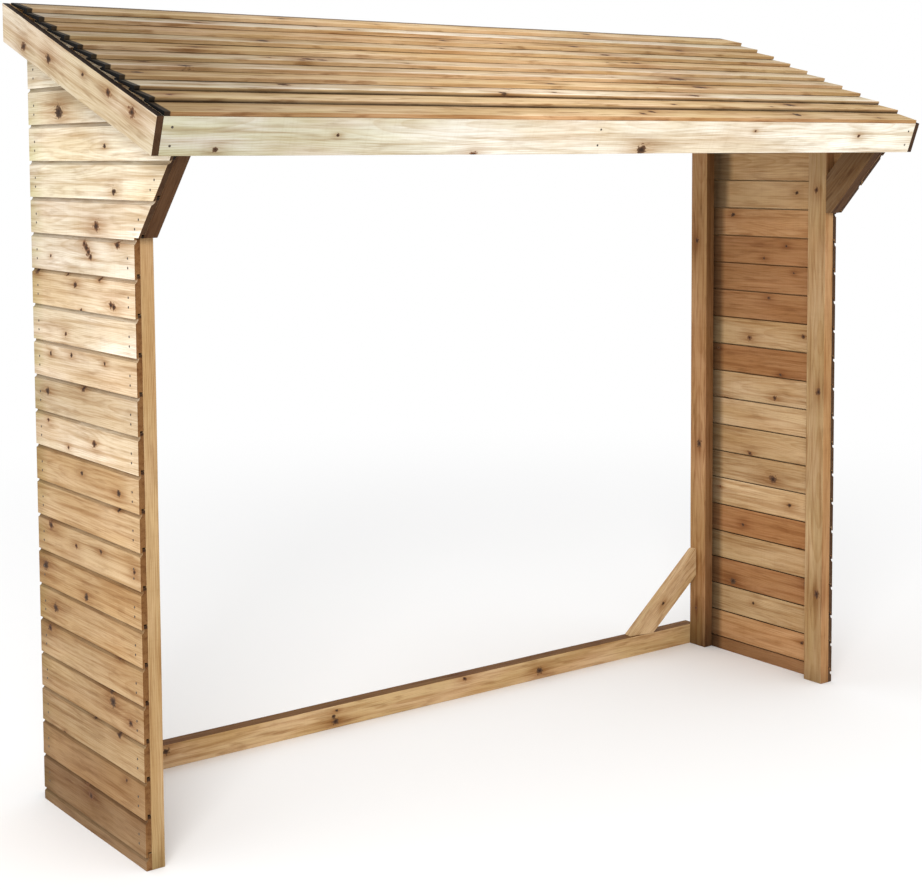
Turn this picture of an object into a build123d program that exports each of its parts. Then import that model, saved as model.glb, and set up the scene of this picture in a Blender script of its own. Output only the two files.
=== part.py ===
from build123d import *
import os
from math import ceil, cos, radians, sin, tan

# Lean-to timber log store, open at the front and the back. Two side panels of lapped boards on posts
# carry a roof of lapped boards that slopes down to a fascia at the front.
# X runs along the store, Y from the front to the wall behind, Z up. The origin is on the ground at the
# middle of the whole outline. Depths below are measured from the front faces of the front posts.

# Overall driving sizes
store_width = 2240.0
panel_depth = 550.0
roof_slope = 19.8
fascia_bottom_height = 1569.0
roof_front_reach = 215.0
roof_side_reach = 64.0
roof_back_setback = 15.0

# Framing timber
post_width = 32.0
post_depth = 67.0
rafter_width = 32.0
rafter_depth = 45.0
middle_rafter_count = 3
rail_height = 62.0
rail_thickness = 42.0
rail_end_setback = 10.0

# Barge boards and fascia
edge_board_height = 85.0
edge_board_thickness = 16.0

# Wall cladding: shiplap boards with a scooped shoulder, over a narrow strip ripped from one of them
board_exposed_width = 85.0
board_thickness = 14.0
board_lap_width = 12.0
tongue_thickness = 8.0
scoop_height = 9.0
strip_height = 30.0

# Roof boards: plain feather-edge boards, each lying on the one below, that share the slope evenly
roof_board_largest_exposure = 75.0
roof_board_width = 95.0
roof_board_foot_thickness = 10.0
roof_board_head_thickness = 4.5
roof_board_back_setback = 12.0

# Struts under the front overhang
strut_landing_height = 36.0
strut_angle = 48.0
strut_width = 86.0
strut_nib_length = 20.0

# Braces from the top of the back rail to the inner faces of the back posts
brace_width = 62.0
brace_thickness = 32.0
brace_angle = 45.0
brace_foot_reach = 250.0
brace_skew = 8.0
brace_bearing_width = 27.0

# Named clearances
seat_gap = 0.2
rebate_clearance = 0.4
rebate_tip_gap = 3.5
cladding_roof_gap = 2.0

# Places worked out from the sizes above
cladding_back_x = store_width / 2 - board_thickness
post_inner_x = cladding_back_x - post_width
barge_outer_x = store_width / 2 + roof_side_reach
barge_inner_x = barge_outer_x - edge_board_thickness
roof_back_y = panel_depth - roof_back_setback
back_rafter_y = roof_back_y - rafter_width
rafter_underside = edge_board_height - rafter_depth
cladding_top = edge_board_height - cladding_roof_gap
slope_sin = sin(radians(roof_slope))
slope_cos = cos(radians(roof_slope))
slope_tan = tan(radians(roof_slope))
roof_tip_reach = roof_front_reach + (edge_board_height + seat_gap + roof_board_foot_thickness) * slope_sin
middle_y = (panel_depth + rail_thickness - roof_tip_reach) / 2


def side_view(x):
    """Plane of the side view at x: its own x is the depth behind the front posts, its own y the height."""
    return Plane(origin=(x, -middle_y, 0), x_dir=(0, 1, 0), z_dir=(1, 0, 0))


def slope_point(along, above):
    """Side view point at a distance along the slope and above the fascia's lower front corner."""
    depth = along * slope_cos - above * slope_sin - roof_front_reach
    return depth, fascia_bottom_height + along * slope_sin + above * slope_cos


def slope_height(depth, above):
    """Height at a depth of the line that is parallel to the slope and above the fascia's lower corner."""
    return fascia_bottom_height + (depth + roof_front_reach) * slope_tan + above / slope_cos


def upright_edge(depth, low, high):
    """The two side view points where a plumb line crosses two lines parallel to the slope."""
    return (depth, slope_height(depth, low)), (depth, slope_height(depth, high))


def side_outline(*points):
    """A face in side view through the given points."""
    with BuildSketch() as outline:
        with BuildLine():
            Polyline(*points, close=True)
        make_face()
    return outline.sketch


def side_piece(outline, start_x, width):
    """A piece with one outline in side view all the way across its width."""
    with BuildPart() as piece:
        with BuildSketch(side_view(start_x)):
            add(outline)
        extrude(amount=width)
    return piece


def write(piece, name):
    piece.part.label = name
    export_step(piece.part, f"parts/{name}.step")


def write_pair(piece, name):
    """Write a piece of the right side, and its mirror image for the left side."""
    write(piece, f"right_{name}")
    with BuildPart() as mirrored:
        mirror(piece.part, about=Plane.YZ)
    write(mirrored, f"left_{name}")


def post(front):
    """A post, cut at its top to the underside of the rafter that lies on it."""
    back = front + post_depth
    outline = side_outline(
        (front, 0),
        (back, 0),
        (back, slope_height(back, rafter_underside)),
        (front, slope_height(front, rafter_underside)),
    )
    return side_piece(outline, post_inner_x, post_width)


def rafter(start_x):
    """A rafter, cut square against the fascia and plumb against the roof's back rail."""
    low_back, high_back = upright_edge(back_rafter_y, rafter_underside, edge_board_height)
    outline = side_outline(
        slope_point(edge_board_thickness, rafter_underside),
        low_back,
        high_back,
        slope_point(edge_board_thickness, edge_board_height),
    )
    return side_piece(outline, start_x, rafter_width)


def under_roof(above):
    """The side view region behind the fascia, below the slope line and below the roof's back rail."""
    fascia_back_corner = slope_point(edge_board_thickness, 0)
    low_step, high_step = upright_edge(back_rafter_y - cladding_roof_gap, rafter_underside, above)
    back_height = slope_height(panel_depth, rafter_underside - cladding_roof_gap)
    step_height = slope_height(back_rafter_y, rafter_underside - cladding_roof_gap)
    return side_outline(
        slope_point(edge_board_thickness, above),
        fascia_back_corner,
        (fascia_back_corner[0], 0),
        (panel_depth, 0),
        (panel_depth, back_height),
        (low_step[0], step_height),
        high_step,
    )


# The strut's lower edge meets the back of the fascia at its landing. Its slanted edges run on past the
# roof, and the roof cuts them off.
strut_rise = tan(radians(strut_angle))
strut_run = roof_front_reach + edge_board_height
landing_depth, landing_height = slope_point(edge_board_thickness, strut_landing_height)
strut_foot_height = landing_height + (landing_depth + strut_nib_length) * strut_rise
strut_foot_corner = (-strut_nib_length, strut_foot_height)
strut_far_corner = (-strut_nib_length - strut_run, strut_foot_height + strut_run * strut_rise)
strut_plumb_width = strut_width / cos(radians(strut_angle))
strut_top_at_post = strut_foot_height + strut_plumb_width - strut_nib_length * strut_rise


def haunch_strut():
    """The strut: plumb against the front post, with a level nib at its foot."""
    with BuildPart() as piece:
        with BuildSketch(side_view(post_inner_x)):
            add(
                side_outline(
                    (0, strut_foot_height),
                    strut_foot_corner,
                    strut_far_corner,
                    (-strut_run, strut_top_at_post + strut_run * strut_rise),
                    (0, strut_top_at_post),
                )
            )
            add(under_roof(rafter_underside), mode=Mode.INTERSECT)
        extrude(amount=post_width)
    return piece


def shiplap_section(foot, shoulder):
    """Section of a board, outwards from its back plane: its foot, its face, and the scooped shoulder that
    ends its face at a height, with the tongue above that."""
    tongue_top = shoulder + board_lap_width - rebate_tip_gap
    tongue_foot = (tongue_thickness, shoulder)
    face_top = (board_thickness, shoulder - scoop_height)
    with BuildSketch() as section:
        with BuildLine():
            Polyline(tongue_foot, (tongue_thickness, tongue_top), (0, tongue_top), *foot, face_top)
            TangentArc(tongue_foot, face_top, tangent=(0, -1))
        make_face()
    return section.sketch


def wall_board_section(bottom):
    """Section of a wall board, its foot rebated over the tongue of the board below."""
    rebate_top = bottom + board_lap_width
    rebate_side = tongue_thickness + rebate_clearance
    foot = [(0, rebate_top), (rebate_side, rebate_top), (rebate_side, bottom), (board_thickness, bottom)]
    return shiplap_section(foot, bottom + board_exposed_width)


def strip_section():
    """Section of the ripped strip that closes the wall at the ground."""
    return shiplap_section([(0, 0), (board_thickness, 0)], strip_height)


def cladding():
    """The boards of one panel, flush with its posts and cut to the haunch and to the slope."""
    sections = [strip_section()]
    bottom = strip_height
    while bottom + board_lap_width < slope_height(panel_depth, rafter_underside - cladding_roof_gap):
        sections.append(wall_board_section(bottom))
        bottom += board_exposed_width
    section_plane = Plane(
        origin=(cladding_back_x, panel_depth - middle_y, 0),
        x_dir=(1, 0, 0),
        z_dir=(0, -1, 0),
    )
    panel_top = slope_height(panel_depth, edge_board_height)
    with BuildPart() as panel:
        with BuildSketch(side_view(cladding_back_x)):
            add(
                side_outline(
                    (0, 0),
                    (panel_depth, 0),
                    (panel_depth, panel_top),
                    (0, panel_top + strut_run * strut_rise),
                    strut_far_corner,
                    strut_foot_corner,
                    (0, strut_foot_height),
                )
            )
            add(under_roof(cladding_top), mode=Mode.INTERSECT)
        extrude(amount=board_thickness)
    with BuildPart() as boards:
        for section in sections:
            with BuildSketch(section_plane):
                add(section)
            extrude(amount=panel_depth + strut_run)
        add(panel.part, mode=Mode.INTERSECT)
    return boards


def rail_brace():
    """A brace cut level on the rail and plumb on the post, its upper end further forward than its foot."""
    skew = radians(brace_skew)
    front = Plane(
        origin=(post_inner_x, panel_depth - brace_bearing_width - middle_y, rail_height),
        x_dir=(-cos(skew), sin(skew), 0),
        z_dir=(sin(skew), cos(skew), 0),
    )
    foot = brace_foot_reach / cos(skew)
    heel = foot - brace_width / sin(radians(brace_angle))
    past_post = -brace_width
    rise = tan(radians(brace_angle))
    with BuildPart() as piece:
        with BuildSketch(front):
            with BuildLine():
                Polyline(
                    (foot, 0),
                    (heel, 0),
                    (past_post, (heel - past_post) * rise),
                    (past_post, (foot - past_post) * rise),
                    close=True,
                )
            make_face()
        extrude(amount=brace_thickness)
        split(bisect_by=Plane.YZ.offset(post_inner_x), keep=Keep.BOTTOM)
    return piece


roof_boards_end = (roof_back_y + roof_front_reach + edge_board_height * slope_sin) / slope_cos
roof_boards_end -= roof_board_back_setback
roof_lap_run = roof_boards_end - roof_board_width
roof_lap_count = ceil(roof_lap_run / roof_board_largest_exposure)
roof_board_exposed_width = roof_lap_run / roof_lap_count


def roof_board(index, rise):
    """A roof board. Its lower edge is raised by the board below, and its upper edge lies on the rafters."""
    lower = index * roof_board_exposed_width
    upper = lower + roof_board_width
    seat = edge_board_height + seat_gap
    outline = side_outline(
        slope_point(lower, seat + rise),
        slope_point(upper, seat),
        slope_point(upper, seat + roof_board_head_thickness),
        slope_point(lower, seat + rise + roof_board_foot_thickness),
    )
    return side_piece(outline, -barge_inner_x, 2 * barge_inner_x)


os.makedirs("parts", exist_ok=True)

# Side panels
write_pair(post(0), "front_post")
write_pair(post(panel_depth - post_depth), "back_post")
write_pair(rafter(post_inner_x), "end_rafter")
write_pair(haunch_strut(), "haunch_strut")
write_pair(cladding(), "cladding")

# Back rail on the ground, on the back faces of the back posts, with a brace at each end
with BuildPart() as back_rail:
    rail_half_length = cladding_back_x - rail_end_setback
    with BuildSketch(side_view(-rail_half_length)):
        with Locations((panel_depth, 0)):
            Rectangle(rail_thickness, rail_height, align=(Align.MIN, Align.MIN))
    extrude(amount=2 * rail_half_length)
write(back_rail, "back_rail")
write_pair(rail_brace(), "rail_brace")

# Roof frame: the fascia and the back rail run between the barge boards, with rafters between them
roof_plane = Plane(
    origin=(0, -roof_front_reach - middle_y, fascia_bottom_height),
    x_dir=(1, 0, 0),
    z_dir=(0, -slope_sin, slope_cos),
)
with BuildPart() as front_fascia:
    with BuildSketch(roof_plane):
        Rectangle(2 * barge_inner_x, edge_board_thickness, align=(Align.CENTER, Align.MIN))
    extrude(amount=edge_board_height)
write(front_fascia, "front_fascia")

rail_low_front, rail_high_front = upright_edge(back_rafter_y, rafter_underside, edge_board_height)
rail_low_back, rail_high_back = upright_edge(roof_back_y, rafter_underside, edge_board_height)
roof_rail_outline = side_outline(rail_low_front, rail_low_back, rail_high_back, rail_high_front)
write(side_piece(roof_rail_outline, -barge_inner_x, 2 * barge_inner_x), "roof_back_rail")

rafter_spacing = 2 * (post_inner_x + rafter_width / 2) / (middle_rafter_count + 1)
for index in range(middle_rafter_count):
    middle_x = (index + 1) * rafter_spacing - post_inner_x - rafter_width / 2
    write(rafter(middle_x - rafter_width / 2), f"middle_rafter_{index + 1}")

barge_low_back, barge_high_back = upright_edge(roof_back_y, 0, edge_board_height)
barge_outline = side_outline(
    slope_point(0, 0),
    barge_low_back,
    barge_high_back,
    slope_point(0, edge_board_height),
)
write_pair(side_piece(barge_outline, barge_inner_x, edge_board_thickness), "barge_board")

# Roof boards, from the fascia up
exposed_share = roof_board_exposed_width / roof_board_width
lap_thickness = roof_board_foot_thickness
lap_thickness += (roof_board_head_thickness - roof_board_foot_thickness) * exposed_share
board_rise = 0.0
for index in range(roof_lap_count + 1):
    write(roof_board(index, board_rise), f"roof_board_{index + 1:02d}")
    board_rise = board_rise * (1 - exposed_share) + lap_thickness + seat_gap
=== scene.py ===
import math
import random

import bmesh
import bpy
from mathutils import Matrix, Vector, noise
from mathutils.bvhtree import BVHTree


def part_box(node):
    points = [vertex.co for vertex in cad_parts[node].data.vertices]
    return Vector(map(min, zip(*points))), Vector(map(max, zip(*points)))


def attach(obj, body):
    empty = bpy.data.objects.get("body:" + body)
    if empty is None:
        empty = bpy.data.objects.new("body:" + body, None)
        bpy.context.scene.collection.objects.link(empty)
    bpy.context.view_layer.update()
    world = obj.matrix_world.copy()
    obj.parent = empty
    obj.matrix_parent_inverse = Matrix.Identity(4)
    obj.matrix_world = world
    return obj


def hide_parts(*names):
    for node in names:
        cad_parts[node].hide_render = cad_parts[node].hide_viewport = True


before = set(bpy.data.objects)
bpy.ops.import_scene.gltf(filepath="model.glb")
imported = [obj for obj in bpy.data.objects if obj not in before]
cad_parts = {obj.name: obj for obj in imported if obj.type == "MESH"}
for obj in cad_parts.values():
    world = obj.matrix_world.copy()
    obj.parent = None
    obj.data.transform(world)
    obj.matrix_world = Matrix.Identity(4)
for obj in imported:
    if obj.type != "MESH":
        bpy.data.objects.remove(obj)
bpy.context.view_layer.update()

# The looks of a lean-to log store of pressure-treated softwood. Each CAD node is dressed by a piece with
# eased edges, a little warp, and grain and knots of its own. Lengths are in metres.

MM = 0.001

X = Vector((1, 0, 0))
Y = Vector((0, 1, 0))
Z = Vector((0, 0, 1))

# Tones of the timber as they look in this light, and how much the light brightens a face
LIT = 1.16
TONES = {
    "chalk": (250, 244, 231),
    "ivory": (243, 231, 208),
    "frost": (238, 224, 204),
    "cream": (230, 209, 181),
    "wheat": (222, 194, 154),
    "sand": (207, 176, 137),
    "honey": (198, 154, 110),
    "tan": (193, 161, 121),
    "brown": (168, 133, 94),
    "walnut": (166, 121, 81),
    "dusk": (142, 112, 80),
    "bark": (126, 89, 52),
    "umber": (92, 65, 42),
    "char": (36, 25, 17),
}


def linear(channel):
    """Scene value of a display colour's channel, from 0 to 255."""
    share = channel / 255
    return share / 12.92 if share <= 0.04045 else ((share + 0.055) / 1.055) ** 2.4


def tone(name, shade=1.0):
    return tuple(linear(channel) * shade / LIT for channel in TONES[name])


# Node trees

class Tree:
    """Builds a material's node tree. Values passed to its methods are numbers, tuples or sockets."""

    def __init__(self, name):
        self.material = bpy.data.materials.new(name)
        self.material.use_nodes = True
        self.tree = self.material.node_tree
        self.shader = self.tree.nodes["Principled BSDF"]

    def node(self, kind, inputs=(), **settings):
        """A node with its inputs, by name or number, and its settings."""
        made = self.tree.nodes.new(kind)
        for key, value in settings.items():
            setattr(made, key, value)
        for key, value in dict(inputs).items():
            self.put(made.inputs[key], value)
        return made

    def put(self, socket, value):
        if isinstance(value, bpy.types.NodeSocket):
            self.tree.links.new(value, socket)
        else:
            socket.default_value = value

    def math(self, operation, *values):
        return self.node("ShaderNodeMath", enumerate(values), operation=operation).outputs[0]

    def chain(self, operation, values):
        """The result of an operation on the first two values, then on that and the next, and so on."""
        result = values[0]
        for value in values[1:]:
            result = self.math(operation, result, value)
        return result

    def product(self, *values):
        return self.chain("MULTIPLY", values)

    def total(self, *values):
        return self.chain("ADD", values)

    def highest(self, *values):
        return self.chain("MAXIMUM", values)

    def attribute(self, name):
        return self.node("ShaderNodeAttribute", attribute_name=name)

    def split(self, vector):
        return self.node("ShaderNodeSeparateXYZ", {0: vector}).outputs

    def vector(self, x, y, z):
        return self.node("ShaderNodeCombineXYZ", {0: x, 1: y, 2: z}).outputs[0]

    def noise(self, vector, scale, detail):
        made = self.node("ShaderNodeTexNoise", {"Vector": vector, "Scale": scale, "Detail": detail})
        return made.outputs["Fac"]

    def rescale(self, value, low, high, new_low=0.0, new_high=1.0, smooth=True):
        kind = "SMOOTHSTEP" if smooth else "LINEAR"
        made = self.node(
            "ShaderNodeMapRange",
            {"Value": value, "From Min": low, "From Max": high, "To Min": new_low, "To Max": new_high},
            interpolation_type=kind,
        )
        return made.outputs["Result"]

    def mix(self, share, first, second, blend="MIX"):
        made = self.node("ShaderNodeMix", data_type="RGBA", blend_type=blend)
        for key, value in (("Factor", share), ("A", first), ("B", second)):
            sockets = [s for s in made.inputs if s.name == key and s.enabled]
            self.put(sockets[0], value)
        return [s for s in made.outputs if s.enabled][0]

    def ramp(self, value, stops):
        made = self.node("ShaderNodeValToRGB", {0: value})
        elements = made.color_ramp.elements
        while len(elements) < len(stops):
            elements.new(0.5)
        for element, (position, level) in zip(elements, stops):
            element.position = position
            element.color = (level, level, level, 1)
        return self.node("ShaderNodeRGBToBW", {0: made.outputs["Color"]}).outputs[0]


def opaque(color):
    return (*color, 1.0)


RING_WIDTH = 3.2 * MM
# How far the pith wanders, and how far the rings drift across the board
PITH_WANDER = 11 * MM
RING_DRIFT = 2.8 * MM
# Dark share of a growth ring from its start to its end
LATE_WOOD = ((0.0, 0.25), (0.12, 0.0), (0.5, 0.12), (0.86, 0.9), (0.95, 1.0), (1.0, 0.3))

# Distance along the grain counts less than across it, for the grain that a knot pushes aside and its oval
KNOT_REACH = 0.5
KNOT_ROUND = 0.8
KNOT_SOFTNESS = 0.35
HALO_SPREAD = 6.0
# Shares of its radius between which a knot's outline and its core fade out
KNOT_OUTLINE = (0.7, 1.15)
KNOT_CORE = (0.1, 0.85)
# How much nearer and further its outline seems where it is ragged
KNOT_RAGGED = (0.5, 1.6)
RED_KNOT = (0.17, 0.075, 0.032)
BROWN_KNOT = (0.10, 0.052, 0.026)
DARK_KNOT = (0.036, 0.018, 0.010)

# How far below the lap the painted shade in the crease under it reaches
LAP_SHADE_HEIGHT = 13 * MM
# Height above the lap at which the painted shade on the covered part of a board is at its darkest
DARK_ABOVE_LAP = 4 * MM

# Noises in the wood, as how often they change in a metre along and across the grain, and their detail
NOISES = {
    "ragged": (130.0, 190.0, 3.0),
    "slow": (1.7, 5.0, 2.0),
    "drift": (3.3, 16.0, 3.0),
    "streak": (3.5, 90.0, 4.0),
    "fibre": (15.0, 400.0, 3.0),
    "patch": (3.0, 12.0, 3.0),
    "smear": (11.0, 65.0, 4.0),
    "chatter": (190.0, 7.0, 1.0),
}

# Filters over the board's tone, each at its strongest
FILTERS = {
    # Painted light: a lapped board's outer face is paler towards its foot
    "painted_foot_light": (1.12, 1.15, 1.20),
    "dark patch": (0.90, 0.83, 0.73),
    "pale patch": (1.12, 1.14, 1.16),
    "late wood": (0.78, 0.68, 0.56),
    "streak": (0.71, 0.61, 0.50),
    "fibre": (0.81, 0.76, 0.70),
    "chatter": (0.86, 0.82, 0.76),
    "green": (0.83, 0.84, 0.64),
    "dirt": (0.54, 0.42, 0.31),
    # Painted shade just under a lap, and over the part of a board that the next one covers
    "lap shade": (0.30, 0.21, 0.13),
    "covered": (0.25, 0.22, 0.2),
    "knot halo": (0.55, 0.38, 0.23),
}
WOOD_SPECULAR = 0.14
WOOD_ROUGHNESS = (0.62, 0.78)
RELIEF_DEPTH = 0.5 * MM
RELIEF_STRENGTH = 0.6


def softwood(name, knot_slots):
    """Treated softwood. The mesh says where each point lies in its own log, its tone and its knots."""
    tree = Tree(name)
    along, across, deep = tree.split(tree.attribute("wood").outputs["Vector"])
    tint = tree.attribute("tint").outputs["Color"]
    green_share, ring_scale, wear = tree.split(tree.attribute("look").outputs["Vector"])
    lift, lap, shade_under_lap = tree.split(tree.attribute("edge").outputs["Vector"])

    noises = {}
    for key, (lengthwise, crosswise, detail) in NOISES.items():
        drawn_out = tree.vector(
            tree.product(along, lengthwise), tree.product(across, crosswise), tree.product(deep, crosswise)
        )
        noises[key] = tree.noise(drawn_out, 1.0, detail)
    slow, drift, streak, fibre = (noises[key] for key in ("slow", "drift", "streak", "fibre"))

    # Knots push the grain aside, and show as dark ovals with a warm halo that trails along the grain.
    pushes, masks, halos, cores = [], [], [], []
    ragged = tree.rescale(noises["ragged"], 0.25, 0.75, *KNOT_RAGGED, smooth=False)
    for slot in range(knot_slots):
        knot_along, knot_across, radius = tree.split(tree.attribute(f"knot_{slot}").outputs["Vector"])
        run = tree.math("SUBTRACT", along, knot_along)
        side = tree.math("SUBTRACT", across, knot_across)
        side_squared = tree.product(side, side)
        reach = tree.product(run, KNOT_REACH)
        spread = tree.math("MULTIPLY_ADD", reach, reach, side_squared)
        radius_squared = tree.product(radius, radius)
        soft_spread = tree.math("MULTIPLY_ADD", radius_squared, KNOT_SOFTNESS, spread)
        push = tree.math("DIVIDE", radius_squared, soft_spread)
        pushes.append(tree.product(push, side))
        run_round = tree.product(run, KNOT_ROUND)
        distance = tree.math("SQRT", tree.math("MULTIPLY_ADD", run_round, run_round, side_squared))
        share = tree.product(tree.math("DIVIDE", distance, radius), ragged)
        masks.append(tree.rescale(share, *KNOT_OUTLINE, 1.0, 0.0))
        cores.append(tree.rescale(share, *KNOT_CORE, 1.0, 0.0))
        wide = tree.math("DIVIDE", spread, tree.product(radius_squared, -HALO_SPREAD))
        halos.append(tree.math("EXPONENT", wide))
    knot = tree.highest(*masks)
    core = tree.highest(*cores)
    halo = tree.highest(*halos)
    pushed = tree.math("SUBTRACT", across, tree.total(*pushes))

    # Growth rings round the pith, which wanders along the log
    wander = tree.rescale(slow, 0.25, 0.75, -PITH_WANDER, PITH_WANDER, smooth=False)
    drift_across = tree.rescale(drift, 0.2, 0.8, -RING_DRIFT, RING_DRIFT, smooth=False)
    ring_across = tree.math("ADD", pushed, drift_across)
    ring_deep = tree.math("ADD", deep, wander)
    deep_squared = tree.product(ring_deep, ring_deep)
    from_pith = tree.math("SQRT", tree.math("MULTIPLY_ADD", ring_across, ring_across, deep_squared))
    ring_width = tree.product(ring_scale, RING_WIDTH)
    phase = tree.math("FRACT", tree.math("DIVIDE", from_pith, ring_width))
    late = tree.ramp(phase, LATE_WOOD)

    # A lapped board's outer face is paler towards its foot as painted light, with painted shade under and
    # above its lap
    outside = tree.math("GREATER_THAN", shade_under_lap, 0.0)
    painted_foot_light = tree.product(tree.rescale(tree.math("DIVIDE", lift, lap), 0.75, 0.0), outside)
    # Painted shade in the crease just under the lap, patchy along the streaks
    lap_shade = tree.product(
        tree.rescale(tree.math("SUBTRACT", lap, lift), LAP_SHADE_HEIGHT, 0.0),
        tree.rescale(streak, 0.3, 0.6, 0.75, 1.0),
        shade_under_lap,
    )
    # Painted shade on the part of the outer face that the next board covers
    above_lap = tree.rescale(tree.math("SUBTRACT", lift, lap), 0.0, DARK_ABOVE_LAP)

    # Colour: the tone under its filters, and the knots over it
    color = tint
    for key, share in (
        ("painted_foot_light", painted_foot_light),
        ("dark patch", tree.rescale(noises["patch"], 0.42, 0.66, 0.0, 0.9)),
        ("pale patch", tree.rescale(noises["patch"], 0.45, 0.3)),
        ("late wood", tree.product(late, 0.52)),
        ("streak", tree.rescale(streak, 0.44, 0.72, 0.0, 0.95)),
        ("fibre", tree.rescale(fibre, 0.44, 0.72, 0.0, 0.85)),
        ("chatter", tree.rescale(noises["chatter"], 0.5, 0.75, 0.0, 0.2)),
        ("green", tree.product(tree.rescale(drift, 0.35, 0.62), green_share)),
        ("dirt", tree.product(tree.rescale(noises["smear"], 0.52, 0.72), wear)),
        ("lap shade", lap_shade),
        ("covered", tree.product(above_lap, outside)),
        ("knot halo", tree.product(halo, tree.rescale(streak, 0.25, 0.6, 0.35, 0.85))),
    ):
        color = tree.mix(share, color, opaque(FILTERS[key]), "MULTIPLY")
    knot_brown = tree.mix(tree.rescale(slow, 0.42, 0.58), opaque(RED_KNOT), opaque(BROWN_KNOT))
    knot_color = tree.mix(core, knot_brown, opaque(DARK_KNOT))
    tree.put(tree.shader.inputs["Base Color"], tree.mix(knot, color, knot_color))

    tree.put(tree.shader.inputs["Roughness"], tree.rescale(fibre, 0.3, 0.7, *WOOD_ROUGHNESS, smooth=False))
    tree.shader.inputs["Specular IOR Level"].default_value = WOOD_SPECULAR

    relief = tree.total(
        tree.product(late, 0.35),
        tree.product(fibre, 0.5),
        tree.product(streak, 0.3),
        tree.product(knot, 0.4),
    )
    bump = tree.node(
        "ShaderNodeBump", {"Strength": RELIEF_STRENGTH, "Distance": RELIEF_DEPTH, "Height": relief}
    )
    tree.put(tree.shader.inputs["Normal"], bump.outputs["Normal"])
    return tree.material


DARK_STEEL = (0.035, 0.028, 0.022)
PALE_STEEL = (0.10, 0.075, 0.055)
STEEL_SPOTS = 900.0


def steel(name):
    """Dulled steel of nail heads, spotted by the weather."""
    tree = Tree(name)
    coords = tree.node("ShaderNodeTexCoord").outputs["Object"]
    spots = tree.noise(coords, STEEL_SPOTS, 2.0)
    tree.put(tree.shader.inputs["Base Color"], tree.mix(spots, opaque(DARK_STEEL), opaque(PALE_STEEL)))
    tree.put(tree.shader.inputs["Roughness"], tree.rescale(spots, 0.3, 0.7, 0.45, 0.65))
    tree.shader.inputs["Metallic"].default_value = 0.35
    return tree.material


# How many knots a short and a long board may have
SHORT_SLOTS = 5
LONG_SLOTS = 8
WOODS = {
    SHORT_SLOTS: softwood("treated_softwood", SHORT_SLOTS),
    LONG_SLOTS: softwood("treated_softwood_long", LONG_SLOTS),
}
nail_steel = steel("nail_steel")


# Timber

EDGE_EASE = 1.1 * MM
# The largest share of a board's shortest arris that is eased
EASE_SHARE = 0.4
SHARP_EDGE = math.radians(35)
WELD_REACH = 0.01 * MM
FLAT_ANGLE = math.radians(0.4)
CUT_SPACING = 0.11
WARP_LENGTH = 0.38
# Places in the noise for each board's bow and crook
SEED_STEP = 3.7
BOW_LEVEL = 0.0
CROOK_LEVEL = 9.0
# A face looks along a direction when its normal has this share of it
FACING = 0.6
# Where each board's log lies: how far along, and where its pith is across and behind the board's middle
LOG_SPREAD = 40
PITH_ACROSS = 50 * MM
PITH_DEPTH = (12 * MM, 70 * MM)
RING_SCALE = (0.8, 1.25)
# An unused slot holds a small knot far outside the board
NO_KNOT = (-9.0, -9.0, MM)


class Board:
    """How one board looks.

    It has a tone and shade, and knots as (along, across, radius) in millimetres from its start, which is its
    low corner unless given. green and wear are how green and how dirty it is, and warp is in millimetres.
    end is the tone and shade of its ends, and faces has those of faces that differ, as (direction, least
    share of it, tone, shade). fade has its shade and added green at shares of its length, and inner_fade
    those of its inner side. A lapped board is covered from the height lap above its foot. Its shade under
    the lap sets how strong the painted shade just under the lap is, and foot_shade is the painted shadow on
    the lower arris of its foot.
    """

    def __init__(self, tone_name, shade=1.0, knots=(), start=None, green=0.15, wear=0.5, warp=0.7,
                 end=("umber", 1.0), faces=(), fade=((0.0, 1.0, 0.0), (1.0, 1.0, 0.0)), inner_fade=None,
                 lap=None, shade_under_lap=1.0, foot_shade=1.0):
        self.tone_name = tone_name
        self.shade = shade
        self.knots = list(knots)
        self.start = start
        self.green = green
        self.wear = wear
        self.warp = warp * MM
        self.end = end
        self.faces = faces
        self.fade = fade
        self.inner_fade = inner_fade or fade
        self.lap = lap
        self.shade_under_lap = shade_under_lap
        self.foot_shade = foot_shade

    def face_tone(self, normal, grain):
        """The tone of a face that looks a given way."""
        for direction, least, name, shade in self.faces:
            if normal.dot(direction) > least:
                return tone(name, shade)
        if abs(normal.dot(grain)) > FACING:
            return tone(*self.end)
        return tone(self.tone_name, self.shade)

    def faded(self, share, inner):
        """The shade and the added green at a share of the board's length."""
        fade = self.inner_fade if inner else self.fade
        for (start, *first), (stop, *last) in zip(fade, fade[1:]):
            if share <= stop:
                way = max(0.0, share - start) / (stop - start)
                return [a + (b - a) * way for a, b in zip(first, last)]
        return fade[-1][1:]


def flat_faced(mesh):
    """A bmesh of a CAD mesh with each flat face in one piece."""
    bm = bmesh.new()
    bm.from_mesh(mesh)
    bmesh.ops.remove_doubles(bm, verts=bm.verts, dist=WELD_REACH)
    bmesh.ops.dissolve_limit(bm, angle_limit=FLAT_ANGLE, verts=bm.verts, edges=bm.edges)
    return bm


def solids_of(node):
    """Each solid of a CAD node as a bmesh of its own, the lowest first."""
    whole = flat_faced(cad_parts[node].data)
    left = set(whole.verts)
    solids = []
    while left:
        first = left.pop()
        group, edge_of_group = {first}, [first]
        while edge_of_group:
            vert = edge_of_group.pop()
            for edge in vert.link_edges:
                other = edge.other_vert(vert)
                if other not in group:
                    group.add(other)
                    edge_of_group.append(other)
        left -= group
        solid = bmesh.new()
        copies = {vert: solid.verts.new(vert.co) for vert in sorted(group, key=lambda v: v.index)}
        for face in whole.faces:
            if face.verts[0] in group:
                solid.faces.new([copies[vert] for vert in face.verts])
        solid.normal_update()
        solids.append(solid)
    whole.free()
    return sorted(solids, key=lambda s: min(v.co.z for v in s.verts))


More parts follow.
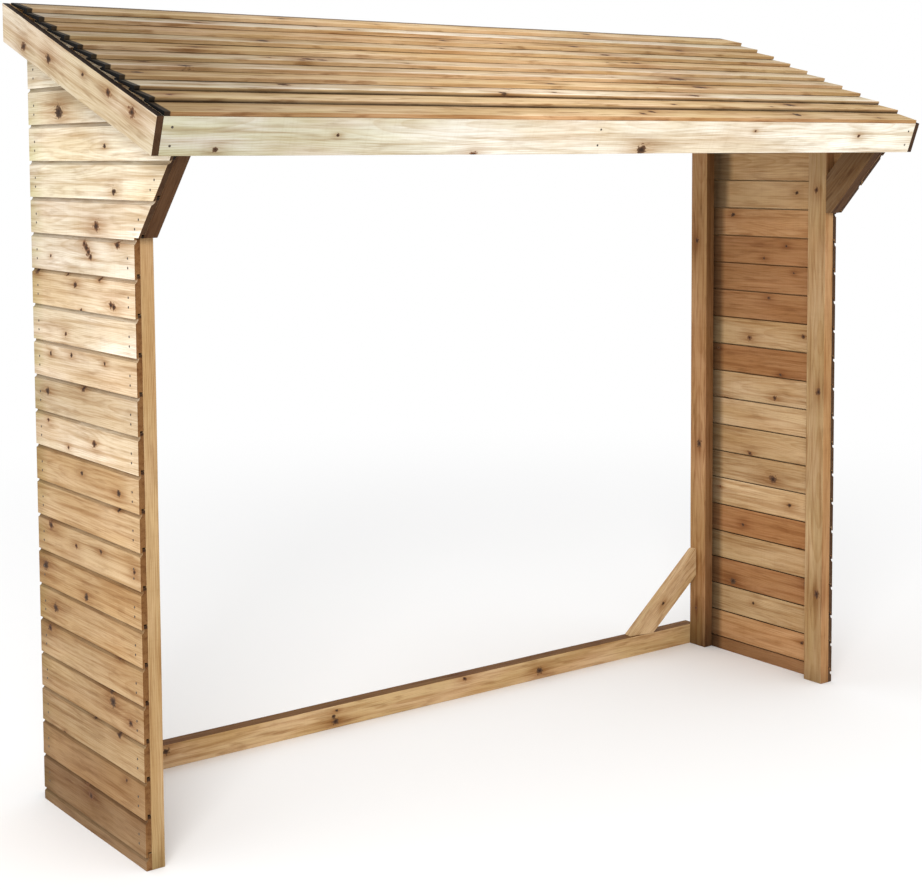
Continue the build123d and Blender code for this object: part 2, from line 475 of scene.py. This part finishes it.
def ease(bm):
    """Rounds the arrises of a board a little, as a planer leaves them."""
    arrises = [edge for edge in bm.edges if edge.calc_face_angle(0.0) > SHARP_EDGE]
    amount = min(EDGE_EASE, EASE_SHARE * min(edge.calc_length() for edge in arrises))
    bmesh.ops.bevel(
        bm, geom=arrises, offset=amount, segments=2, profile=0.5, affect="EDGES", clamp_overlap=True
    )


def cut_across(bm, grain, stops):
    """Adds rings of points across a board, evenly and at shares of its length, so that it can warp."""
    reach = [vert.co.dot(grain) for vert in bm.verts]
    low, high = min(reach), max(reach)
    count = int((high - low) / CUT_SPACING)
    for share in sorted({step / count for step in range(1, count)} | set(stops) - {0.0, 1.0}):
        place = low + (high - low) * share
        bmesh.ops.bisect_plane(
            bm, geom=bm.verts[:] + bm.edges[:] + bm.faces[:], plane_co=grain * place, plane_no=grain
        )


def bend(bm, axes, amount, seed):
    """Warps a board by a slow random bow across and through its face."""
    grain, across, deep = axes
    for vert in bm.verts:
        run = vert.co.dot(grain) / WARP_LENGTH
        bow = noise.noise(Vector((run, seed * SEED_STEP, BOW_LEVEL)))
        crook = noise.noise(Vector((run, seed * SEED_STEP, CROOK_LEVEL)))
        vert.co += (across * crook + deep * bow) * amount


class Timber:
    """Gathers boards into one mesh, with what the material needs to know about each."""

    def __init__(self, slots):
        self.slots = slots
        self.points, self.faces = [], []
        self.wood, self.tints, self.looks, self.edges = [], [], [], []
        self.knots = [[] for _ in range(slots)]

    def add(self, bm, axes, board, seed):
        """Adds a solid. axes are its directions along the grain, across its face and through it."""
        rng = random.Random(seed)
        grain = axes[0]
        ease(bm)
        cut_across(bm, grain, [stop[0] for stop in board.fade + board.inner_fade])
        low = Vector(min(vert.co.dot(axis) for vert in bm.verts) for axis in axes)
        high = Vector(max(vert.co.dot(axis) for vert in bm.verts) for axis in axes)
        middle = (low + high) / 2
        pith = (rng.uniform(-PITH_ACROSS, PITH_ACROSS), rng.choice((-1, 1)) * rng.uniform(*PITH_DEPTH))
        shift = Vector((rng.uniform(0, LOG_SPREAD), pith[0] - middle.y, pith[1] - middle.z))
        rings = rng.uniform(*RING_SCALE)
        start = board.start or low
        knots = [
            (start[0] + along * MM + shift.x, start[1] + side * MM + shift.y, radius * MM)
            for along, side, radius in board.knots[:self.slots]
        ]
        knots += [NO_KNOT] * (self.slots - len(knots))
        first = len(self.points)
        bm.verts.index_update()
        bm.normal_update()
        shades, inner = [], []
        for vert in bm.verts:
            place = Vector(vert.co.dot(axis) for axis in axes)
            self.wood.append(place + shift)
            inner.append(place.z < middle.z)
            shade, green = board.faded((place.x - low.x) / (high.x - low.x), inner[-1])
            shades.append(shade)
            self.looks.append((board.green + green, rings, board.wear))
            # The third value of edge is the strength of the painted shade under the lap, on the outer side
            # only
            outside = board.lap is not None and place.z > middle.z
            self.edges.append((place.y - low.y, board.lap or 1.0, board.shade_under_lap * outside))
            for slot in range(self.slots):
                self.knots[slot].append(knots[slot])
        for face in bm.faces:
            self.faces.append([first + vert.index for vert in face.verts])
            face_tone = board.face_tone(face.normal, grain)
            # The lower arris of a board's foot takes foot_shade, a painted shadow where it meets the board
            # below
            foot = face.normal.dot(axes[1]) < -FACING
            for vert in face.verts:
                shade = shades[vert.index] * (board.foot_shade if foot and inner[vert.index] else 1.0)
                self.tints.append(opaque(level * shade for level in face_tone))
        bend(bm, axes, board.warp, seed)
        self.points += [vert.co.copy() for vert in bm.verts]
        bm.free()

    def piece(self, name, material):
        mesh = bpy.data.meshes.new(name)
        mesh.from_pydata(self.points, [], self.faces)
        layers = [("wood", self.wood), ("look", self.looks), ("edge", self.edges)]
        layers += [(f"knot_{slot}", self.knots[slot]) for slot in range(self.slots)]
        for layer, values in layers:
            data = mesh.attributes.new(layer, "FLOAT_VECTOR", "POINT").data
            data.foreach_set("vector", [number for value in values for number in value])
        tints = mesh.attributes.new("tint", "FLOAT_COLOR", "CORNER").data
        tints.foreach_set("color", [level for tint in self.tints for level in tint])
        mesh.materials.append(material)
        mesh.update()
        return linked(name, mesh)


def linked(name, data):
    made = bpy.data.objects.new(name, data)
    bpy.context.scene.collection.objects.link(made)
    return made


def dress(node, axes, boards, slots=SHORT_SLOTS, seed=0):
    """Makes the piece that stands for a CAD node, one board for each of its solids."""
    timber = Timber(slots)
    for index, solid in enumerate(solids_of(node)):
        timber.add(solid, axes, boards[index % len(boards)], seed + index)
    made = timber.piece(f"{node}_timber", WOODS[slots])
    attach(made, "root")
    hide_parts(node)
    return made


# Shares of a board's length, its width and the largest radius, for knots that are scattered
ALONG_SHARES = (0.05, 0.95)
ACROSS_SHARES = (0.12, 0.88)
RADIUS_SHARES = (0.35, 1.0)


def random_knots(rng, length, width, count, largest):
    """Knots scattered along a board, in millimetres."""
    limits = ((ALONG_SHARES, length), (ACROSS_SHARES, width), (RADIUS_SHARES, largest))
    return [tuple(rng.uniform(*shares) * size for shares, size in limits) for _ in range(count)]


# Nails

NAIL_RADIUS = 2.9 * MM
NAIL_SIDES = 10
NAIL_CROWN = 0.5 * MM
# The head's outline as shares of the radius and the crown, from inside the wood to its top
NAIL_OUTLINE = ((1.0, -1.0), (1.0, 0.4), (0.6, 1.0))


class Nails:
    """Gathers the low round heads of nails into one mesh."""

    def __init__(self):
        self.points, self.faces = [], []

    def drive(self, place, out):
        """Adds a head that lies on a face, where out is the way that the face looks."""
        turn = out.to_track_quat("Z", "Y").to_matrix()
        first = len(self.points)
        for width, rise in NAIL_OUTLINE:
            radius = width * NAIL_RADIUS
            for side in range(NAIL_SIDES):
                angle = math.tau * side / NAIL_SIDES
                spot = Vector((radius * math.cos(angle), radius * math.sin(angle), rise * NAIL_CROWN))
                self.points.append(place + turn @ spot)
        for ring in (first, first + NAIL_SIDES):
            above = ring + NAIL_SIDES
            for side in range(NAIL_SIDES):
                after = (side + 1) % NAIL_SIDES
                self.faces.append((ring + side, ring + after, above + after, above + side))
        crown = first + 2 * NAIL_SIDES
        self.faces.append(tuple(range(crown, crown + NAIL_SIDES)))
        self.faces.append(tuple(range(first + NAIL_SIDES - 1, first - 1, -1)))

    def piece(self, name):
        mesh = bpy.data.meshes.new(name)
        mesh.from_pydata(self.points, [], self.faces)
        mesh.materials.append(nail_steel)
        mesh.update()
        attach(linked(name, mesh), "root")


def surface_of(made):
    """The faces of a piece, to find places on it."""
    corners = [vert.co for vert in made.data.vertices]
    return BVHTree.FromPolygons(corners, [tuple(face.vertices) for face in made.data.polygons])


def corners_of(node):
    """The corners of a CAD node."""
    return [vert.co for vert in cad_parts[node].data.vertices]


# The roof's slope, read from the upper corners of a barge board, and the way that the roof looks. The front
# corner is the higher of those furthest forward, so being forward weighs more than being high.
FORWARD_WEIGHT = 3
barge_corners = corners_of("left_barge_board")
front_top = max(barge_corners, key=lambda p: p.z - p.y * FORWARD_WEIGHT)
back_top = max(barge_corners, key=lambda p: p.z)
upslope = Vector((0, back_top.y - front_top.y, back_top.z - front_top.z)).normalized()
roof_normal = Vector((0, -upslope.z, upslope.y))
SLOPE_AXES = (upslope, roof_normal, X)

# The strut's direction, read from its foremost corner and the low one furthest back
strut_corners = sorted(corners_of("left_haunch_strut"), key=lambda p: p.y)
strut_foot = min(strut_corners, key=lambda p: p.z - p.y)
strut_top = strut_corners[0]
strut_grain = (strut_top - strut_foot).normalized()
strut_across = Vector((0, strut_grain.z, -strut_grain.y))

# Cladding boards, from the ground up, as (tone, shade). The left wall runs from dark at the ground to pale
# at the top, painted light and shade of how the light falls on it; besides that, tones differ from board to
# board.
LEFT_WALL = [
    ("dusk", 0.98), ("dusk", 1.08), ("brown", 0.97), ("tan", 0.88), ("tan", 0.96), ("tan", 0.98),
    ("tan", 1.08), ("tan", 1.12), ("sand", 1.02), ("sand", 1.05), ("sand", 1.04), ("cream", 1.04),
    ("cream", 0.9), ("cream", 1.04), ("frost", 1.08), ("cream", 1.1), ("frost", 1.0), ("frost", 1.04),
    ("ivory", 1.04), ("ivory", 1.1), ("ivory", 1.02), ("ivory", 1.04), ("ivory", 1.04),
]
RIGHT_WALL = [
    ("walnut", 0.8), ("honey", 1.0), ("tan", 1.0), ("walnut", 1.12), ("tan", 1.05), ("walnut", 1.2),
    ("sand", 1.08), ("tan", 1.0), ("tan", 1.05), ("sand", 1.0), ("sand", 0.95), ("walnut", 1.08),
    ("tan", 1.0), ("walnut", 1.02), ("walnut", 1.0), ("walnut", 1.08), ("honey", 1.0), ("tan", 1.15),
    ("tan", 1.15), ("tan", 1.15), ("walnut", 1.2), ("brown", 1.0), ("brown", 1.0),
]
WALL_FADE = ((0.0, 1.06, 0.0), (0.2, 1.1, 0.0), (0.45, 1.0, 0.0), (0.88, 0.98, 0.1), (1.0, 0.84, 0.9))
# The inner sides are painted much darker just in front of the back posts, painted shade of the posts on the
# walls
INNER_WALL_FADE = (
    (0.0, 1.0, 0.0), (0.2, 1.06, 0.0), (0.6, 1.0, 0.0), (0.79, 0.95, 0.1), (0.825, 0.38, 0.1),
    (0.88, 0.2, 0.1), (1.0, 0.8, 0.3),
)

# Knots of the cladding as (depth behind the front posts' faces, height, radius) in millimetres
LEFT_WALL_KNOTS = [
    (375, 1672, 17), (135, 1592, 6), (94, 1493, 8), (187, 1415, 12), (251, 1374, 8), (241, 1365, 10),
    (230, 1355, 10), (219, 1346, 8), (82, 1377, 10), (439, 1338, 4), (521, 1300, 9), (351, 1299, 4),
    (304, 1278, 8), (175, 1297, 6), (120, 1243, 8), (105, 1240, 9), (275, 1221, 5), (363, 1160, 6),
    (450, 1107, 5), (333, 1113, 6), (158, 1109, 5), (474, 1015, 9), (275, 1042, 8), (474, 946, 6),
    (222, 921, 9), (363, 894, 5), (292, 844, 6), (100, 827, 8), (105, 789, 6), (474, 693, 11),
    (333, 667, 6), (199, 678, 6), (30, 663, 6), (509, 589, 13), (281, 556, 9), (456, 495, 11),
    (492, 440, 10), (117, 452, 6), (164, 368, 9), (152, 343, 12), (64, 317, 9), (252, 283, 8),
    (123, 275, 9), (304, 113, 8), (280, 88, 11), (420, 200, 4), (90, 180, 5),
]
RIGHT_WALL_KNOTS = [
    (328, 1002, 8), (108, 1023, 7), (428, 801, 7), (222, 826, 7), (323, 643, 7), (227, 576, 13),
    (158, 506, 7), (392, 228, 10), (90, 278, 9), (305, 176, 5), (104, 94, 6), (250, 1130, 6),
    (180, 1290, 5), (400, 1380, 7), (140, 1450, 6), (300, 1560, 6), (350, 415, 6), (120, 380, 5),
    (450, 520, 5), (200, 900, 5), (60, 700, 6), (460, 960, 5), (270, 1250, 5), (150, 1210, 4),
]
BOARD_EXPOSURE = 85
WALL_NAIL_HEIGHTS = (24, 45)
WALL_NAIL_SETBACK = 33 * MM
# A nail goes in from outside the store, where the board's face is flat enough
CLEAR = 2.0
FLAT_ENOUGH = 0.9

front_post_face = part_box("left_front_post")[0][1]
# The right wall's end grain is painted darker than the left's, painted shade on its unlit outer side
for side, sign, tones, knots, end in (
    ("left", -1, LEFT_WALL, LEFT_WALL_KNOTS, ("bark", 1.0)),
    ("right", 1, RIGHT_WALL, RIGHT_WALL_KNOTS, ("umber", 0.75)),
):
    node = f"{side}_cladding"
    feet = sorted(round(min(vert.co.z for vert in solid.verts) / MM) for solid in solids_of(node))
    boards = []
    for foot, (name, shade) in zip(feet, tones):
        own = [knot for knot in knots if foot <= knot[1] < foot + BOARD_EXPOSURE]
        # Painted shade: the slanted cuts under the haunch strut are umber, and each board's scoop and
        # underside are darker than it
        strut_cut = (-strut_across, 0.985, "umber", 0.7)
        scoop = (Z, 0.3, name, 0.8 * shade)
        underside = (-Z, 0.5, "brown", 0.8)
        boards.append(Board(
            name, shade, own, start=(front_post_face, 0.0), green=0.2, wear=0.4, end=end,
            faces=(strut_cut, scoop, underside), fade=WALL_FADE, inner_fade=INNER_WALL_FADE,
            lap=BOARD_EXPOSURE * MM, shade_under_lap=0.3,
        ))
    axes = (Y, Z, X * sign)
    wall = surface_of(dress(node, axes, boards, LONG_SLOTS, seed=100 + 100 * sign))
    nails = Nails()
    middle_x = sum(corner[0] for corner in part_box(node)) / 2
    for foot in feet[1:]:
        for height in WALL_NAIL_HEIGHTS:
            z = (foot + height) * MM
            for way in (1, -1):
                edge = wall.ray_cast(Vector((middle_x, -CLEAR * way, z)), Y * way)[0]
                if edge is None:
                    continue
                y = edge.y + way * WALL_NAIL_SETBACK
                place, out = wall.ray_cast(Vector((CLEAR * sign, y, z)), X * -sign)[:2]
                if place is not None and out.dot(X) * sign > FLAT_ENOUGH:
                    nails.drive(place, out)
    nails.piece(f"{node}_nails")

# Posts, rafters, struts and braces
POST_FADE = ((0.0, 0.72, 0.5), (0.03, 0.92, 0.2), (0.12, 1.0, 0.0), (1.0, 1.0, 0.0))
# The right back post is much darker and greener at its foot, and a little darker towards its top
DARK_FOOT_FADE = ((0.0, 0.4, 0.5), (0.03, 0.55, 0.5), (0.09, 0.95, 0.2), (0.3, 1.0, 0.0), (1.0, 0.9, 0.0))
POSTS = {
    "left_front_post": Board("tan", 1.0, [(1500, 20, 6)], green=0.4, wear=0.35, fade=POST_FADE),
    "left_back_post": Board("tan", 1.0, green=0.4, fade=POST_FADE),
    "right_front_post": Board(
        "tan", 0.98, [(1461, 36, 7), (869, 21, 9), (267, 20, 11)], green=0.4, wear=0.35, fade=POST_FADE,
        faces=((-Y, 0.8, "honey", 0.98),),
    ),
    # The right back post's forward face is painted walnut, painted shade inside the store
    "right_back_post": Board(
        "honey", 0.9, [(652, 28, 10), (1295, 42, 9), (120, 40, 6)], green=0.5, wear=0.6, fade=DARK_FOOT_FADE,
        faces=((-Y, 0.8, "walnut", 0.8),),
    ),
}
for number, (node, board) in enumerate(POSTS.items()):
    dress(node, (Z, Y, X), [board], seed=31 + number)

for side, sign in (("left", -1), ("right", 1)):
    dress(f"{side}_end_rafter", SLOPE_AXES, [Board("brown")], seed=41 + sign)
    # The strut's faces that look forward and down are painted umber, painted shade
    strut = Board("dusk", 0.8, wear=0.8, faces=((-strut_across, 0.8, "umber", 1.1), (-Y, 0.8, "umber", 1.1)))
    dress(f"{side}_haunch_strut", (strut_grain, strut_across, X), [strut], seed=51 + sign)
    brace_grain = Vector((sign, 0, 1)).normalized()
    brace_across = Vector((-sign, 0, 1)).normalized()
    brace = Board("sand", 1.05, [(150, 40, 5)], green=0.4, wear=0.6)
    dress(f"{side}_rail_brace", (brace_grain, brace_across, Y), [brace], seed=61 + sign)

# Edge boards
BARGE_KNOTS = [(108, 57, 12), (226, 61, 10), (356, 59, 5), (538, 38, 11), (679, 24, 11)]
FASCIA_KNOTS = [(127, 14, 6), (1316, 10, 13), (2109, 48, 6), (796, 0, 8), (420, 46, 4), (1700, 60, 3)]
# The barge board's top edge is painted near black, painted shade under the roof boards' ends
barge = Board(
    "frost", 0.93, BARGE_KNOTS, green=0.4, wear=0.5, end=("umber", 0.7),
    faces=((roof_normal, 0.8, "char", 1.3),),
)
for side, seed in (("left", 70), ("right", 72)):
    dress(f"{side}_barge_board", SLOPE_AXES, [barge], seed=seed)
# The fascia is painted darker and greener towards its left end; the darkening is painted shade
FASCIA_FADE = ((0.0, 0.6, 0.85), (0.12, 0.66, 0.6), (0.25, 0.78, 0.3), (0.45, 1.0, 0.0), (1.0, 1.04, 0.0))
fascia = Board("chalk", 1.06, FASCIA_KNOTS, green=0.15, wear=0.3, fade=FASCIA_FADE)
fascia_face = surface_of(
    dress("front_fascia", (X, roof_normal, upslope), [fascia], LONG_SLOTS, seed=82)
)
FASCIA_NAIL_SETBACK = 22 * MM
FASCIA_NAIL_HEIGHTS = (22 * MM, 62 * MM)
# A nail is placed from this far in front of the fascia
IN_FRONT = 0.5
nails = Nails()
fascia_low, fascia_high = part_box("front_fascia")
fascia_foot = min(corners_of("front_fascia"), key=lambda p: p.z)
for x in (fascia_low[0] + FASCIA_NAIL_SETBACK, 0.0, fascia_high[0] - FASCIA_NAIL_SETBACK):
    for height in FASCIA_NAIL_HEIGHTS:
        start = Vector((x, fascia_foot.y, fascia_foot.z)) + roof_normal * height - upslope * IN_FRONT
        place, out = fascia_face.ray_cast(start, upslope)[:2]
        nails.drive(place, out)
nails.piece("front_fascia_nails")

# Rails and rafters
RAIL_KNOTS = [(306, 45, 8), (821, 18, 9), (815, 34, 6), (826, 48, 4), (1265, 54, 7), (1546, 25, 11)]
# The rail's top face is painted bark, painted shade
rail = Board("sand", 1.12, RAIL_KNOTS, warp=1.0, green=0.6, wear=0.6, faces=((Z, 0.8, "bark", 1.1),))
dress("back_rail", (X, Z, Y), [rail], LONG_SLOTS, seed=81)
dress("roof_back_rail", (X, Z, Y), [Board("tan")], LONG_SLOTS, seed=83)
for index in range(1, 4):
    dress(f"middle_rafter_{index}", SLOPE_AXES, [Board("tan")], seed=84 + index)

# Roof boards from the fascia up, as (tone, shade), and their marked knots as (along, across, radius)
ROOF = [
    ("wheat", 1.08), ("wheat", 1.15), ("frost", 1.1), ("wheat", 1.1), ("cream", 1.0), ("cream", 1.02),
    ("wheat", 1.1), ("cream", 1.0), ("sand", 1.15), ("frost", 0.98), ("wheat", 1.12),
]
ROOF_KNOTS = {
    1: [(1885, 40, 13), (1321, 30, 9), (1368, 50, 10)],
    2: [(1930, 40, 17), (60, 30, 9), (1480, 22, 8)],
    3: [(388, 55, 15), (971, 8, 11), (1146, 30, 8), (1624, 30, 15)],
    4: [(60, 40, 12), (1194, 30, 10), (1722, 40, 19)],
    5: [(195, 15, 15), (117, 55, 11), (1700, 34, 21)],
    6: [(568, 40, 16), (600, 30, 11), (540, 20, 9)],
    7: [(1667, 30, 14), (1630, 36, 10), (300, 30, 9)],
    8: [(523, 35, 16), (1615, 30, 13)],
    9: [(1114, 40, 11), (1558, 30, 13), (1974, 40, 13)],
    10: [(420, 36, 12), (860, 30, 9)],
    11: [(1721, 30, 13), (700, 40, 10)],
}
# Along each roof board, painted shade and light: near black for its first few millimetres at the left,
# darker towards the left and brightest past the middle, with added green
ROOF_FADE = (
    (0.0, 0.05, 0.0), (0.0052, 0.05, 0.0), (0.0062, 0.55, 0.3), (0.12, 0.62, 0.25), (0.3, 0.9, 0.1),
    (0.45, 1.12, 0.0), (0.6, 1.1, 0.1), (0.8, 0.95, 0.2), (1.0, 0.92, 0.3),
)
ROOF_FOOT = ("sand", 1.1)
LOWEST_ROOF_FOOT = ("honey", 1.0)
# Painted shadow: the lower arris of each roof board's foot but the lowest is this dark
ROOF_FOOT_SHADE = 0.08
ROOF_EXPOSURE = 72 * MM
# Length and width, in millimetres, that a roof board's other knots are scattered over, and their radius
ROOF_KNOT_AREA = (2328, 76)
ROOF_KNOT_RADIUS = 7
ROOF_AXES = (X, upslope, roof_normal)
for index, (name, shade) in enumerate(ROOF, start=1):
    rng = random.Random(f"roof {index}")
    knots = ROOF_KNOTS[index] + random_knots(rng, *ROOF_KNOT_AREA, rng.randint(1, 2), ROOF_KNOT_RADIUS)
    foot = ((-upslope, 0.8, *(LOWEST_ROOF_FOOT if index == 1 else ROOF_FOOT)),)
    # Roof board end grain is painted near black, its own dark end grain with painted shade
    board = Board(
        name, shade, knots, warp=1.2, green=0.3, wear=0.9, end=("char", 0.8), faces=foot, fade=ROOF_FADE,
        lap=ROOF_EXPOSURE, foot_shade=1.0 if index == 1 else ROOF_FOOT_SHADE,
    )
    dress(f"roof_board_{index:02d}", ROOF_AXES, [board], LONG_SLOTS, seed=90 + index)


# Floor, light and camera

FLOOR_REACH = 60.0
FLOOR_NEAR = 2.2
FLOOR_FAR = 5.5
FLOOR_COLOR = (0.9, 0.9, 0.9)
BLACK = (0.0, 0.0, 0.0)
WHITE = (1.0, 1.0, 1.0)


def floor_paint():
    """Pale paint that turns to the studio's even white away from the middle, so that no horizon shows."""
    tree = Tree("floor_paint")
    place = tree.node("ShaderNodeTexCoord").outputs["Object"]
    distance = tree.node("ShaderNodeVectorMath", {0: place}, operation="LENGTH").outputs["Value"]
    far = tree.rescale(distance, FLOOR_NEAR, FLOOR_FAR)
    tree.put(tree.shader.inputs["Base Color"], tree.mix(far, opaque(FLOOR_COLOR), opaque(BLACK)))
    tree.put(tree.shader.inputs["Emission Strength"], far)
    tree.shader.inputs["Emission Color"].default_value = opaque(WHITE)
    tree.shader.inputs["Roughness"].default_value = 0.95
    tree.shader.inputs["Specular IOR Level"].default_value = 0.0
    return tree.material


floor_mesh = bpy.data.meshes.new("floor")
corners = [(FLOOR_REACH * x, FLOOR_REACH * y, 0) for x, y in ((-1, -1), (1, -1), (1, 1), (-1, 1))]
floor_mesh.from_pydata(corners, [], [(0, 1, 2, 3)])
floor_mesh.materials.append(floor_paint())
linked("floor", floor_mesh)

world = bpy.data.worlds.new("studio")
bpy.context.scene.world = world
world.use_nodes = True
world.node_tree.nodes["Background"].inputs["Color"].default_value = opaque(WHITE)
world.node_tree.nodes["Background"].inputs["Strength"].default_value = 1.0


def area_light(name, place, aim, size, power):
    data = bpy.data.lights.new(name, "AREA")
    data.shape = "SQUARE"
    data.size = size
    data.energy = power
    light = linked(name, data)
    light.location = place
    light.rotation_euler = (Vector(aim) - Vector(place)).to_track_quat("-Z", "Y").to_euler()


area_light("key", place=(-4.0, -4.2, 3.6), aim=(0, 0, 1.1), size=2.4, power=220)

FRAME_WIDTH = 922
SENSOR_WIDTH = 36.0
FOCAL_PIXELS = 1721.0
SHIFT_PIXELS = 160.0
CAMERA_PLACE = (-2.762, -3.536, 1.569)
CAMERA_YAW = math.radians(36.78)
CAMERA_PITCH = math.radians(4.33)
CAMERA_ROLL = math.radians(0.32)

camera_data = bpy.data.cameras.new("camera")
camera_data.sensor_width = SENSOR_WIDTH
camera_data.lens = FOCAL_PIXELS * SENSOR_WIDTH / FRAME_WIDTH
camera_data.shift_y = -SHIFT_PIXELS / FRAME_WIDTH
camera = linked("camera", camera_data)
turn = Matrix.Rotation(-CAMERA_YAW, 4, "Z") @ Matrix.Rotation(math.pi / 2 - CAMERA_PITCH, 4, "X")
camera.matrix_world = Matrix.Translation(CAMERA_PLACE) @ turn @ Matrix.Rotation(-CAMERA_ROLL, 4, "Z")
bpy.context.scene.camera = camera
bpy.context.scene.view_settings.view_transform = "Standard"
